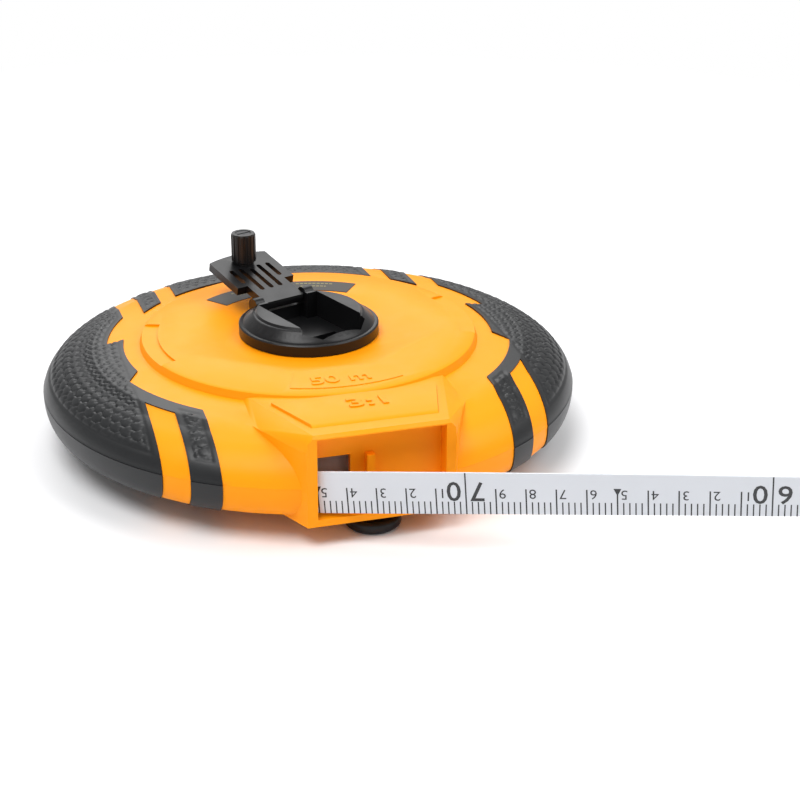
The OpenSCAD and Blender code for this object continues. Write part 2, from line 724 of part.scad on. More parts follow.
// ---- end fitting of the tape ----
module tape_frame(s) {
    // Local X along the tape, Z up its width, from its lower edge at distance s.
    at_seam() translate(exit_point + s * tape_dir) rotate([0, 0, -heading]) rotate([0, -rise, 0])
        rotate([lean_end, 0, 0]) children();
}
clamp_len = 16;
module end_clamp() {
    color(steel) tape_frame(free_len) difference() {
        union() {
            translate([-2, -1.2, -1]) cube([clamp_len + 2, 2.4, tape_w + 2]);
            translate([clamp_len + 1.4, 0, tape_w / 2 - 4]) cylinder(r = 2.4, h = 8);
        }
        translate([-3, -tape_t / 2 - 0.05, -2]) cube([3.05, tape_t + 0.1, tape_w + 4]);
        translate([clamp_len + 1.4, 0, -1]) cylinder(r = 1.3, h = 30);
        for (z = [4, tape_w - 4]) translate([7, 0, z]) rotate([90, 0, 0])
            cylinder(r = 1.25, h = 10, center = true);
    }
}
module clamp_rivets() {
    color([0.8, 0.66, 0.3]) tape_frame(free_len) for (z = [4, tape_w - 4])
        translate([7, 0, z]) rotate([90, 0, 0]) {
            cylinder(r = 1.2, h = 2.4, center = true);
            for (s = [-1, 1]) translate([0, 0, s * 1.5]) cylinder(r = 2, h = 0.6, center = true);
        }
}
module end_ring() {
    // Folding loop that hooks over a nail or stake.
    ring_r = 1.2;
    half = 7.2;
    color(steel) tape_frame(free_len) translate([clamp_len + 1.4, 0, tape_w / 2]) {
        cylinder(r = ring_r, h = 2 * half, center = true);
        for (s = [-1, 1]) translate([0, 0, s * half]) {
            rotate([0, 90, 0]) cylinder(r = ring_r, h = 22);
            sphere(r = ring_r);
            translate([22, 0, 0]) sphere(r = ring_r);
        }
        translate([22, 0, 0]) cylinder(r = ring_r, h = 2 * half, center = true);
    }
}

// ---- foot ----
neck_h = 3.4;
module foot_button() {
    color(black) translate([0, -foot_y, 0]) difference() {
        union() {
            revolve([[0, 0], [foot_r - 1.2, 0], [foot_r, 1.2], [foot_r, seam_z - lower_h - neck_h - 1],
                [foot_r - 1, seam_z - lower_h - neck_h], [5.4, seam_z - lower_h - neck_h],
                [5, seam_z - lower_h - neck_h + 0.8], [5, seam_z - lower_h], [0, seam_z - lower_h]]);
        }
        translate([0, 0, -1]) cylinder(r = 2.2, h = far);
        translate([0, 0, -1]) cylinder(r = 4.4, h = 3.4);
    }
}
module foot_screw() {
    color(steel) translate([0, -foot_y, 2.4]) difference() {
        union() {
            translate([0, 0, -1.9]) cylinder(r = 3.9, h = 1.9);
            translate([0, 0, -0.5]) cylinder(r = 2, h = seam_z + floor_z - 1.9 + 0.8);
        }
        for (t = [0, 90]) rotate([0, 0, t]) translate([-2.2, -0.4, -2]) cube([4.4, 0.8, 1.2]);
    }
}

upper_shell();
lower_shell();
left_grip_upper();
right_grip_upper();
back_grip_upper();
left_grip_lower();
right_grip_lower();
back_grip_lower();
top_label();
case_screws();
crank_hub();
hub_retaining_ring();
ring_gear();
arm_hinge_pin();
crank_arm();
knob_pin();
crank_knob();
planet_carrier();
planet_posts();
planet_gear_1();
planet_gear_2();
planet_gear_3();
sun_gear();
centre_axle();
carrier_screw();
axle_screw();
thrust_washer();
drum_core();
drum_upper_flange();
drum_lower_flange();
wound_tape();
tape_lead();
wiper_pads();
foot_button();
foot_screw();
tape_blade();
end_clamp();
clamp_rivets();
end_ring();
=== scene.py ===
import math

import bmesh
import bpy
from mathutils import Matrix, Vector


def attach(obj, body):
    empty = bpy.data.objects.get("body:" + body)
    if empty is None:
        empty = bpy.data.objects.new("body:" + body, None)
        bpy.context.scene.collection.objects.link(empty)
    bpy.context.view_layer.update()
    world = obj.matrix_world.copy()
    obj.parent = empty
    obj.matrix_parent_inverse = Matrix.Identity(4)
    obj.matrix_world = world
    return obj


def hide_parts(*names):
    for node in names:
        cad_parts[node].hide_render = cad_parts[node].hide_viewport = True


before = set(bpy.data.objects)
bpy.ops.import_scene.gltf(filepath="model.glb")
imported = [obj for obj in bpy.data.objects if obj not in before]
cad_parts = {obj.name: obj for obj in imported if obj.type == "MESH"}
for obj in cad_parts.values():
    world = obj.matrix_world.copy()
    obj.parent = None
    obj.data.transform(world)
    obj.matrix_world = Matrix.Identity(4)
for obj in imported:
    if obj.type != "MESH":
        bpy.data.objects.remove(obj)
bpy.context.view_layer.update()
mm = 0.001
seam = 0.0215  # height of the parting line, m
print("frame loaded,", len(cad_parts), "nodes")


camera = {  # angles in degrees
    "distance": 0.70186,
    "elevation": 23.66,
    "turn": 13.927,  # of the mouth from the line of sight
    "pan": 2.841,
    "tilt": -0.249,
    "roll": 1.031,
    "target": 0.012469,  # height of the point looked at
    "lens": 81.41,
}


def makeCamera(c):
    data = bpy.data.cameras.new("camera")
    data.lens, data.sensor_width = c["lens"], 36
    data.clip_start, data.clip_end = 0.01, 50
    made = bpy.data.objects.new("camera", data)
    bpy.context.collection.objects.link(made)
    e = math.radians(c["elevation"])
    place = Vector((0, -c["distance"] * math.cos(e), c["distance"] * math.sin(e)))
    ahead = Vector((0, math.cos(e), -math.sin(e)))
    right = Vector((1, 0, 0))
    up = right.cross(ahead)
    pan = Matrix.Rotation(math.radians(-c["pan"]), 3, up)
    ahead, right = pan @ ahead, pan @ right
    tilt = Matrix.Rotation(math.radians(c["tilt"]), 3, right)
    ahead, up = tilt @ ahead, tilt @ up
    roll = Matrix.Rotation(math.radians(c["roll"]), 3, ahead)
    right, up = roll @ right, roll @ up
    turned = Matrix.Rotation(math.radians(-c["turn"]), 4, "Z")
    axes = Matrix((right, up, -ahead)).transposed().to_4x4()
    target = Matrix.Translation((0, 0, c["target"]))
    made.matrix_world = target @ turned @ Matrix.Translation(place) @ axes
    bpy.context.scene.camera = made


makeCamera(camera)


class Flow:
    # A value in a shader tree, on which arithmetic adds Math nodes.

    def __init__(self, tree, out):
        self.tree, self.out = tree, out

    def maths(self, operation, *others):
        node = self.tree.nodes.new("ShaderNodeMath")
        node.operation = operation
        for place, value in enumerate([self, *others]):
            if isinstance(value, Flow):
                self.tree.links.new(value.out, node.inputs[place])
            else:
                node.inputs[place].default_value = value
        return Flow(self.tree, node.outputs[0])

    def __add__(self, other):
        return self.maths("ADD", other)

    __radd__ = __add__

    def __mul__(self, other):
        return self.maths("MULTIPLY", other)

    __rmul__ = __mul__

    def __sub__(self, other):
        return self.maths("SUBTRACT", other)

    def __rsub__(self, other):
        return (self * -1.0).maths("ADD", other)

    def clamped(self):
        return self.maths("MAXIMUM", 0.0).maths("MINIMUM", 1.0)


class Shading:
    # Adds nodes to a tree; an input is named by its socket, or as i0, i1 by its number.

    def __init__(self, tree):
        self.tree = tree

    def node(self, kind, settings=None, **inputs):
        made = self.tree.nodes.new(kind)
        for key, value in (settings or {}).items():
            setattr(made, key, value)
        for key, value in inputs.items():
            numbered = key[0] == "i" and key[1:].isdigit()
            socket = made.inputs[int(key[1:]) if numbered else key]
            if isinstance(value, Flow):
                self.tree.links.new(value.out, socket)
            else:
                socket.default_value = value
        return made

    def flow(self, kind, settings=None, out=0, **inputs):
        return Flow(self.tree, self.node(kind, settings, **inputs).outputs[out])

    def lit(self, factor, shader, kind, output):
        # Mixes plain white light into a shader by the factor and feeds the output.
        plain = Flow(self.tree, shader.outputs[0])
        white = self.flow(kind, Color=tint(1, 1, 1), Strength=1.0)
        mix = self.flow("ShaderNodeMixShader", i0=factor, i1=plain, i2=white)
        self.tree.links.new(mix.out, output.inputs["Surface"])


class Finish(Shading):

    def __init__(self, name, **shader):
        self.made = bpy.data.materials.new(name)
        self.made.use_nodes = True
        super().__init__(self.made.node_tree)
        self.shader = self.tree.nodes["Principled BSDF"]
        for socket, value in shader.items():
            self.shader.inputs[socket.replace("_", " ")].default_value = value

    def place(self, scale=(1, 1, 1)):
        at = self.flow("ShaderNodeTexCoord", out="Object")
        return self.flow("ShaderNodeMapping", Vector=at, Scale=scale)

    def noise(self, scale, detail=2.0, rough=0.5, at=None):
        values = {"Scale": scale, "Detail": detail, "Roughness": rough}
        return self.flow("ShaderNodeTexNoise", Vector=at or self.place(), **values)

    def blend(self, factor, a, b):
        return self.flow("ShaderNodeMix", {"data_type": "RGBA"}, out=2, i0=factor, i6=a, i7=b)

    def bump(self, height, strength, distance):
        normal = self.flow("ShaderNodeBump", Height=height, Strength=strength, Distance=distance)
        self.feed("Normal", normal)

    def feed(self, socket, value):
        self.tree.links.new(value.out, self.shader.inputs[socket])


def tint(r, g, b):
    return (r, g, b, 1.0)


def mouldedFinish(name, colour, shade, rough, grain, shine=0.5):
    f = Finish(name, Specular_IOR_Level=shine)
    cloud = f.noise(28, 3)
    fine = f.noise(2600, 1.5)
    broad = f.noise(140, 2)
    f.feed("Base Color", f.blend(cloud, tint(*colour), tint(*shade)))
    f.feed("Roughness", broad * 0.16 + (rough - 0.08) + fine * 0.05)
    f.bump(fine + broad * 0.6, grain, 0.00006)
    return f


orange = {
    "colour": (1.0, 0.33, 0.002),
    "shade": (0.98, 0.31, 0.0015),
    "rough": 0.4,
    "grain": 0.16,
    "shine": 0.16,
}
nylon = {
    "colour": (0.004, 0.004, 0.0045),
    "shade": (0.007, 0.007, 0.0075),
    "rough": 0.3,
    "grain": 0.25,
    "shine": 0.3,
}
drumPlastic = {
    "colour": (0.02, 0.02, 0.022),
    "shade": (0.028, 0.028, 0.03),
    "rough": 0.42,
    "grain": 0.2,
}
acetal = {
    "colour": (0.74, 0.73, 0.66),
    "shade": (0.68, 0.67, 0.6),
    "rough": 0.32,
    "grain": 0.1,
}


def metalFinish(name, colour, rough):
    f = Finish(name, Metallic=1.0)
    streak = f.noise(900, 2, at=f.place((1, 1, 0.06)))
    blot = f.noise(90, 3)
    f.feed("Base Color", f.blend(blot, tint(*colour), tint(*[c * 0.86 for c in colour])))
    f.feed("Roughness", streak * 0.2 + (rough - 0.1) + blot * 0.06)
    f.bump(streak, 0.12, 0.00005)
    return f


def rubberFinish():
    f = Finish("gripRubber", Specular_IOR_Level=0.42)
    dust = f.noise(60, 4)
    fine = f.noise(3600, 2)
    clean, dusty = tint(0.006, 0.0066, 0.0074), tint(0.0105, 0.0113, 0.0125)
    f.feed("Base Color", f.blend(dust, clean, dusty))
    f.feed("Roughness", dust * 0.14 + fine * 0.06 + 0.3)
    f.bump(fine, 0.22, 0.00007)
    return f


def feltFinish():
    f = Finish("redFelt", Sheen_Weight=0.4, Roughness=0.9)
    fibre = f.noise(2400, 4, 0.7)
    f.feed("Base Color", f.blend(fibre, tint(0.16, 0.012, 0.008), tint(0.34, 0.03, 0.02)))
    f.bump(fibre, 0.8, 0.0003)
    return f


def tapeFinish():
    f = Finish("coatedTape", Coat_Weight=0.35, Coat_Roughness=0.12, IOR=1.5)
    weave = f.noise(700, 2, at=f.place((0.1, 0.1, 1)))
    cloud = f.noise(40, 2)
    f.feed("Base Color", f.blend(cloud, tint(0.6, 0.62, 0.66), tint(0.66, 0.68, 0.72)))
    f.feed("Roughness", weave * 0.12 + 0.26)
    f.bump(weave, 0.1, 0.00005)
    return f


def inkFinish():
    f = Finish("tapeInk", IOR=1.5, Coat_Weight=0.2)
    worn = f.noise(1500, 3)
    f.feed("Base Color", f.blend(worn, tint(0.008, 0.008, 0.01), tint(0.03, 0.03, 0.034)))
    f.feed("Roughness", worn * 0.1 + 0.35)
    return f


def labelFinish():
    f = Finish("labelFilm", Specular_IOR_Level=0.15)
    cloud = f.noise(420, 2)
    f.feed("Base Color", f.blend(cloud, tint(0.05, 0.045, 0.04), tint(0.066, 0.06, 0.053)))
    f.feed("Roughness", cloud * 0.1 + 0.38)
    return f


def labelInkFinish():
    f = Finish("labelInk")
    worn = f.noise(1200, 3)
    f.feed("Base Color", f.blend(worn, tint(0.2, 0.17, 0.05), tint(0.3, 0.26, 0.09)))
    f.feed("Roughness", worn * 0.1 + 0.45)
    return f


finishes = {
    "orangeCase": mouldedFinish("orangeCase", **orange),
    "blackNylon": mouldedFinish("blackNylon", **nylon),
    "drumPlastic": mouldedFinish("drumPlastic", **drumPlastic),
    "acetal": mouldedFinish("acetal", **acetal),
    "zincSteel": metalFinish("zincSteel", (0.62, 0.63, 0.65), 0.32),
    "blackSteel": metalFinish("blackSteel", (0.045, 0.045, 0.048), 0.4),
    "plainBrass": metalFinish("plainBrass", (0.72, 0.5, 0.2), 0.3),
    "gripRubber": rubberFinish(),
    "redFelt": feltFinish(),
    "coatedTape": tapeFinish(),
    "tapeInk": inkFinish(),
    "labelFilm": labelFinish(),
    "labelInk": labelInkFinish(),
}
print("finishes made,", len(finishes))


def newPiece(name, bm, finish, body="root", smooth=True):
    mesh = bpy.data.meshes.new(name)
    for face in bm.faces:
        face.smooth = smooth
    bm.to_mesh(mesh)
    bm.free()
    piece = bpy.data.objects.new(name, mesh)
    bpy.context.collection.objects.link(piece)
    mesh.materials.append(finishes[finish].made)
    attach(piece, body)
    return piece


def bevelled(piece, width, angle):
    modifier = piece.modifiers.new("edges", "BEVEL")
    modifier.width, modifier.segments = width, 2
    modifier.limit_method, modifier.angle_limit = "ANGLE", math.radians(angle)
    modifier.harden_normals = True
    modifier.use_clamp_overlap = True


def refined(node, name, body, finish, edge):
    # The frame's solid, with flat faces joined and its edges eased.
    flat, angle = 0.6, 38  # degrees
    bm = bmesh.new()
    bm.from_mesh(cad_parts[node].data)
    bmesh.ops.remove_doubles(bm, verts=bm.verts, dist=0.000002)
    bmesh.ops.dissolve_limit(bm, angle_limit=math.radians(flat), verts=bm.verts, edges=bm.edges)
    for e in bm.edges:
        e.smooth = e.calc_face_angle(0) < math.radians(angle)
    piece = newPiece(name, bm, finish, body)
    bevelled(piece, edge, angle)
    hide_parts(node)
    return piece


def keep(node, finish):
    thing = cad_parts[node]
    thing.data.materials.clear()
    thing.data.materials.append(finishes[finish].made)


def textMesh(words, size, place, depth=0.0, bold=0.0):
    curve = bpy.data.curves.new(words, "FONT")
    curve.body, curve.size = words, size
    curve.align_x, curve.align_y = "CENTER", "CENTER"
    curve.extrude, curve.offset, curve.resolution_u = depth, bold, 3
    made = bpy.data.objects.new(words, curve)
    bpy.context.collection.objects.link(made)
    bpy.context.view_layer.update()
    mesh = bpy.data.meshes.new_from_object(made)
    mesh.transform(place)
    bpy.data.objects.remove(made)
    return mesh


tape = {
    "start": (-22.0, -96.0, -9.9),  # lower edge at the mouth, mm, above the parting line
    "heading": 24.2,
    "rise": 3.5,
    "leanStart": 3,
    "leanEnd": 12,
    "length": 168,
    "width": 16,
    "thickness": 0.5,
    "rounding": 0.15,  # of its long edges
    "steps": 84,
    "route": [0, 12, 24, 36, 48, 60, 72, 84, 96, 108, 120, 132, 144, 156, 168],
}
heading, rise = math.radians(tape["heading"]), math.radians(tape["rise"])
tapeAlong = Vector((
    math.cos(rise) * math.cos(heading),
    -math.cos(rise) * math.sin(heading),
    math.sin(rise),
))
tapeBack = Vector((math.sin(heading), math.cos(heading), 0))


def tapeUp(s):
    gain = tape["leanEnd"] - tape["leanStart"]
    lean = math.radians(tape["leanStart"] + gain * (s / tape["length"]) ** 2)
    return -math.cos(lean) * tapeBack.cross(tapeAlong) - math.sin(lean) * tapeBack


def onTape(s, across, proud):
    up = tapeUp(s)
    front = tapeAlong.cross(up).normalized()
    if front.dot(tapeBack) > 0:
        front = -front
    out = tape["thickness"] / 2 + proud
    p = Vector(tape["start"]) + s * tapeAlong + across * up + out * front
    return Vector((p.x * mm, p.y * mm, p.z * mm + seam))


def makeBlade():
    w, t, r = tape["width"], tape["thickness"], tape["rounding"]
    lower = [(0.0, -0.32 * t), (0.0, -0.68 * t), (r, -t)]
    upper = [(w - r, -t), (w, -0.68 * t), (w, -0.32 * t), (w - r, 0)]
    corners = [*lower, *upper, (r, 0)]
    bm = bmesh.new()
    rings = []
    for k in range(tape["steps"] + 1):
        s = tape["length"] * k / tape["steps"]
        rings.append([bm.verts.new(onTape(s, a, d)) for a, d in corners])
    for ring, after in zip(rings, rings[1:]):
        for i in range(len(ring)):
            j = (i + 1) % len(ring)
            bm.faces.new((ring[i], ring[j], after[j], after[i]))
    bm.faces.new(rings[0])
    bm.faces.new(rings[-1])
    bmesh.ops.recalc_face_normals(bm, faces=bm.faces)
    piece = newPiece("tapeBlade", bm, "coatedTape", smooth=False)
    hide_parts("tape_blade")
    return piece


printing = {  # all in mm, on the tape
    "mouthMark": 75,  # cm, from where the numbers fall towards the free end
    "lastMark": 59,
    "offset": 0.8,  # of the first mark from the mouth
    "pitch": 2.0,
    "proud": 0.02,
    "foot": 0.1,
    "bars": {100: (15.9, 0.5), 10: (9.9, 0.5), 2: (4.9, 0.44)},  # height, width
    "clearEnd": 4,
    "tens": {"aside": 4.0, "across": 9.2, "size": 10.4},
    "units": {"aside": 2.2, "across": 8.2, "size": 5.2},
    "triangle": {"half": 1.3, "base": 10.4, "tip": 7.6},
    "boldness": 0.008,
}


def makeBars(bm, m):
    for k in range(int(tape["length"] / m["pitch"])):
        s = m["pitch"] * k + m["offset"]
        millimetres = round(m["mouthMark"] * 10 - m["pitch"] * k)
        high, width = next(bar for step, bar in m["bars"].items() if millimetres % step == 0)
        left, right = s - width / 2, s + width / 2
        outline = [(left, m["foot"]), (right, m["foot"]), (right, high), (left, high)]
        bm.faces.new([bm.verts.new(onTape(a, b, m["proud"])) for a, b in outline])


def makeTriangle(bm, m, s):
    half, base, tip = m["triangle"]["half"], m["triangle"]["base"], m["triangle"]["tip"]
    outline = [(max(s - half, 0.0), base), (s + half, base), (s, tip)]
    bm.faces.new([bm.verts.new(onTape(a, b, m["proud"])) for a, b in outline])


def makeDigit(bm, m, words, s, style, bold):
    mesh = textMesh(words, style["size"], Matrix.Identity(4), bold=bold)
    flat = bmesh.new()
    flat.from_mesh(mesh)
    bmesh.ops.triangulate(flat, faces=flat.faces)
    made = {}
    for face in flat.faces:
        if face.normal.z < 0.5:
            continue
        corners = []
        for v in face.verts:
            if v.index not in made:
                place = onTape(s - v.co.x, style["across"] - v.co.y, m["proud"])
                made[v.index] = bm.verts.new(place)
            corners.append(made[v.index])
        bm.faces.new(corners)
    flat.free()
    bpy.data.meshes.remove(mesh)


def makeTapePrint(m):
    bm = bmesh.new()
    makeBars(bm, m)
    digits = []
    for cm in range(m["lastMark"], m["mouthMark"] + 1):
        s = (m["mouthMark"] - cm) * 10 + m["offset"]
        if s > tape["length"] - m["clearEnd"]:
            continue
        if cm % 10 == 0:
            style = m["tens"]
            bold = m["boldness"] * style["size"]
            digits.append((str(cm)[0], s + style["aside"], style, bold))
            digits.append((str(cm)[1], s - style["aside"], style, bold))
        else:
            digits.append((str(cm % 10), s + m["units"]["aside"], m["units"], 0.0))
        if cm % 10 == 5:
            makeTriangle(bm, m, s)
    for words, s, style, bold in digits:
        makeDigit(bm, m, words, s, style, bold)
    toFront = -tapeBack
    for face in bm.faces:
        face.normal_update()
        if face.normal.dot(toFront) < 0:
            face.normal_flip()
    return newPiece("tapePrint", bm, "tapeInk", smooth=False)


blade = makeBlade()
tapePrint = makeTapePrint(printing)
route = [onTape(s, tape["width"] / 2, -tape["thickness"] / 2) for s in tape["route"]]
print("tape made")


for half in ("upper", "lower"):
    refined(half + "_shell", half + "Shell", "root", "orangeCase", 0.00035)


def resampled(points, step):
    made = [Vector(points[0])]
    for a, b in zip(points, points[1:]):
        a, b = Vector(a), Vector(b)
        count = max(1, round((b - a).length / step))
        made += [a.lerp(b, k / count) for k in range(1, count + 1)]
    return made


grips = {
    "proud": 0.4,  # of the case, mm
    "seamGap": 0.12,
    "caseRadius": 100.6,
    "discRadius": 82.1,  # of the raised disc, where the curved side starts
    "upperHeights": (15.45, 14.95, 14.46),  # at the point, the inner edge and the disc
    "upperCurve": {
        "centre": 78,
        "drop": 2,  # of the centre below the parting line
        "width": 22.7,
        "height": 15.23,
        "from": 68.6,  # degrees
        "to": 9.5,
        "steps": 36,
    },
    "lowerCurve": {
        "centre": 88,
        "width": 12.6,
        "depth": 13.5,
        "squareness": 2.6,
        "steps": 60,
        "skipped": 2,  # steps under the seam gap
    },
    "step": 0.62,  # of the mesh, mm
    "turnStep": 0.375,  # of the mesh, degrees
    "sideTurn": (-60, 123),  # start and sweep, degrees
    "backTurn": (53, 74),
    "innerRadius": 76.5,
    "pointRadius": 70.3,
    "bandWidth": 5.6,
    "sideStart": 70.3,
    "stripe": (52.3, 61.8),
    "backStart": 65.0,
    "block": (48.0, 56.3),
    "backHalf": 41.0,
    "pointAngle": 13.0,
    "frontLean": 5.0,
    "backLean": 2.6,
    "smoothBelow": 5.6,  # height above the parting line where the scales end
    "blockMargin": 1.6,  # of smooth rubber round a scaled panel
    "sideMargin": 2.4,
    "sideInner": 2.2,
    "stripeMargin": 2.0,
    "stripeTop": 1.2,
    "stripeInner": 3.4,
    "scalePitch": 5.4,
    "scaleRow": 2.9,
    "scaleRadius": 3.3,
    "scaleDepth": 0.42,
    "rimWidth": 0.5,
    "dome": 0.05,
    "scaleInset": 0.3,  # of the first scales inside a panel's edge
    "scaleFade": 0.5,
    "grooveDepth": 0.3,
    "grooveWidth": 0.42,
    "grooveReach": 0.8,
    "aroundRadius": 92,  # the scales are laid out on a cylinder of this radius
    "foldRadius": 84,  # and run over the side from here
    "runStart": 98,
    "runRadius": 15.4,
    "runStretch": 1.18,
    "coreRadius": 80,  # of a circle inside the case's rim
    "weld": 0.02,
    "wall": 0.0013,
    "edge": 0.0003,
    "edgeAngle": 50,
}


def upperOutline(g):
    proud, curve = g["proud"], g["upperCurve"]
    width, height = curve["width"] + proud, curve["height"] + proud
    points = list(zip((g["pointRadius"], g["innerRadius"], g["discRadius"]), g["upperHeights"]))
    steps = curve["steps"]
    for k in range(steps + 1):
        a = math.radians(curve["from"] + (curve["to"] - curve["from"]) * k / steps)
        points.append((curve["centre"] + width * math.cos(a), height * math.sin(a) - curve["drop"]))
    points.append((g["caseRadius"] + proud, g["seamGap"]))
    return points


def lowerOutline(g):
    proud, curve = g["proud"], g["lowerCurve"]
    power = 2 / curve["squareness"]
    width, depth = curve["width"] + proud, curve["depth"] + proud
    points = [(g["caseRadius"] + proud, -g["seamGap"])]
    steps = curve["steps"]
    for k in range(curve["skipped"], steps + 1):
        a = math.radians(90 * k / steps)
        out = width * max(math.cos(a), 0) ** power
        points.append((curve["centre"] + out, -depth * math.sin(a) ** power))
    return points + [(r, -depth) for r in (g["discRadius"], g["innerRadius"], g["pointRadius"])]


def scales(g, u, v):
    row = math.floor(v / g["scaleRow"])
    for k in (row + 2, row + 1, row, row - 1):
        shift = g["scalePitch"] / 2 if k % 2 else 0
        centre = round((u - shift) / g["scalePitch"]) * g["scalePitch"] + shift
        d = math.hypot(u - centre, v - k * g["scaleRow"])
        if d < g["scaleRadius"]:
            rim = g["scaleRadius"] - d
            return -g["scaleDepth"] * math.exp(-((rim / g["rimWidth"]) ** 2)) + g["dome"] * rim
    return 0.0


def pointPlane(g, front):
    sign = -1 if front else 1
    lean = -g["frontLean"] if front else -g["backLean"]
    a = math.radians(sign * g["pointAngle"])
    b = math.radians(sign * g["pointAngle"] + lean)
    return (
        Vector((g["pointRadius"] * math.cos(a), g["pointRadius"] * math.sin(a), 0)),
        Vector((g["innerRadius"] * math.cos(b), g["innerRadius"] * math.sin(b), 0)),
    )


def inPoint(g, x, y):
    a, b = pointPlane(g, True)
    c, d = pointPlane(g, False)
    left = (b - a).x * (y - a.y) - (b - a).y * (x - a.x)
    right = (d - c).x * (y - c.y) - (d - c).y * (x - c.x)
    return left > -0.01 and right < 0.01


def sideRegion(g, x, y):
    r = math.hypot(x, y)
    if y > 0 and g["block"][0] < x < g["block"][1]:
        return r > g["pointRadius"]
    if r < g["innerRadius"]:
        return inPoint(g, x, y)
    if y > 0:
        return x > g["backStart"]
    low, high = g["stripe"]
    inBand = x > low and r < g["innerRadius"] + g["bandWidth"]
    return x > g["sideStart"] or low < x < high or inBand


def sidePanel(g, x, y, z, r):
    # How far inside a scaled panel a place is, in mm.
    above = z - g["smoothBelow"]
    if y > 0 and x < (g["block"][1] + g["backStart"]) / 2:
        margin = g["blockMargin"]
        low, high = g["block"]
        return min(x - low - margin, high - margin - x, above, r - g["pointRadius"] - margin)
    inner = g["pointRadius"] if inPoint(g, x, y) else g["innerRadius"]
    start = g["backStart"] if y > 0 else g["sideStart"]
    side = min(x - start - g["sideMargin"], above, r - inner - g["sideInner"])
    if y > 0:
        return side
    margin = g["stripeMargin"]
    low, high = g["stripe"]
    across = min(x - low - margin, high - margin - x)
    return max(side, min(across, above - g["stripeTop"], r - g["innerRadius"] - g["stripeInner"]))


def backRegion(g, x, y):
    return abs(x) < g["backHalf"] and y > 0


def backPanel(g, x, y, z, r):
    across = g["backHalf"] - g["sideMargin"] - abs(x)
    return min(across, z - g["smoothBelow"], r - g["pointRadius"] - g["blockMargin"])


def addScales(g, bm, panel):
    curve = g["upperCurve"]
    moved = []
    for v in bm.verts:
        x, y, z = v.co
        r = math.hypot(x, y)
        inside = panel(g, x, y, z, r)
        if inside < -g["grooveReach"]:
            continue
        if r < g["foldRadius"]:
            run = g["runStart"] - r
        else:
            slope = math.atan2(z + curve["drop"], r - curve["centre"])
            run = g["runRadius"] * slope * g["runStretch"]
        lift = -g["grooveDepth"] * math.exp(-((inside / g["grooveWidth"]) ** 2))
        depth = (inside - g["scaleInset"]) / g["scaleFade"]
        if depth > 0:
            around = math.atan2(y, x) * g["aroundRadius"]
            lift += min(1, depth) * scales(g, around, run)
        moved.append((v, v.normal * lift))
    for v, shift in moved:
        v.co += shift


def faceOutwards(g, bm):
    bmesh.ops.recalc_face_normals(bm, faces=bm.faces)
    bm.normal_update()
    outwards = 0
    for face in bm.faces:
        c = face.calc_center_median()
        core = Vector((c.x, c.y, 0)).normalized() * g["coreRadius"]
        outwards += face.normal.dot(c - core)
    if outwards < 0:
        bmesh.ops.reverse_faces(bm, faces=bm.faces)
        bm.normal_update()


def turnedSheet(g, outline, turn):
    start, sweep = turn
    bm = bmesh.new()
    verts = [bm.verts.new((p.x, 0, p.y)) for p in resampled(outline, g["step"])]
    edges = [bm.edges.new(pair) for pair in zip(verts, verts[1:])]
    first = Matrix.Rotation(math.radians(start), 3, "Z")
    bmesh.ops.rotate(bm, verts=bm.verts, cent=(0, 0, 0), matrix=first)
    bmesh.ops.spin(
        bm,
        geom=verts + edges,
        cent=(0, 0, 0),
        axis=(0, 0, 1),
        angle=math.radians(sweep),
        steps=round(sweep / g["turnStep"]),
    )
    return bm


def makeGrip(g, name, node, outline, shape, textured, mirrored=False):
    bm = turnedSheet(g, outline, shape["turn"])
    for place, normal in shape["cuts"]:
        geom = bm.verts[:] + bm.edges[:] + bm.faces[:]
        bmesh.ops.bisect_plane(bm, geom=geom, plane_co=place, plane_no=normal)
    outside = []
    for face in bm.faces:
        c = face.calc_center_median()
        if not shape["region"](g, c.x, c.y):
            outside.append(face)
    bmesh.ops.delete(bm, geom=outside, context="FACES")
    bmesh.ops.remove_doubles(bm, verts=bm.verts, dist=g["weld"])
    faceOutwards(g, bm)
    if textured:
        addScales(g, bm, shape["panel"])
    bmesh.ops.scale(bm, vec=(mm, mm, mm), verts=bm.verts)
    bmesh.ops.translate(bm, vec=(0, 0, seam), verts=bm.verts)
    if mirrored:
        bmesh.ops.scale(bm, vec=(-1, 1, 1), verts=bm.verts)
        bmesh.ops.reverse_faces(bm, faces=bm.faces)
    piece = newPiece(name, bm, "gripRubber")
    wall = piece.modifiers.new("wall", "SOLIDIFY")
    wall.thickness, wall.offset = g["wall"], -1
    bevelled(piece, g["edge"], g["edgeAngle"])
    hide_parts(node)


def wallAt(x):
    return Vector((x, 0, 0)), Vector((1, 0, 0))


def slantAt(g, front):
    a, b = pointPlane(g, front)
    along = b - a
    return a, Vector((along.y, -along.x, 0))


def makeGrips(g):
    walls = (*g["stripe"], *g["block"], g["sideStart"], g["backStart"])
    side = {
        "turn": g["sideTurn"],
        "cuts": [*map(wallAt, walls), slantAt(g, True), slantAt(g, False)],
        "region": sideRegion,
        "panel": sidePanel,
    }
    back = {
        "turn": g["backTurn"],
        "cuts": [wallAt(g["backHalf"]), wallAt(-g["backHalf"])],
        "region": backRegion,
        "panel": backPanel,
    }
    upper, lower = upperOutline(g), lowerOutline(g)
    for hand, mirrored in (("right", False), ("left", True)):
        makeGrip(g, hand + "GripUpper", hand + "_grip_upper", upper, side, True, mirrored)
        makeGrip(g, hand + "GripLower", hand + "_grip_lower", lower, side, False, mirrored)
    makeGrip(g, "backGripUpper", "back_grip_upper", upper, back, True)
    makeGrip(g, "backGripLower", "back_grip_lower", lower, back, False)


makeGrips(grips)
print("case and grips made")


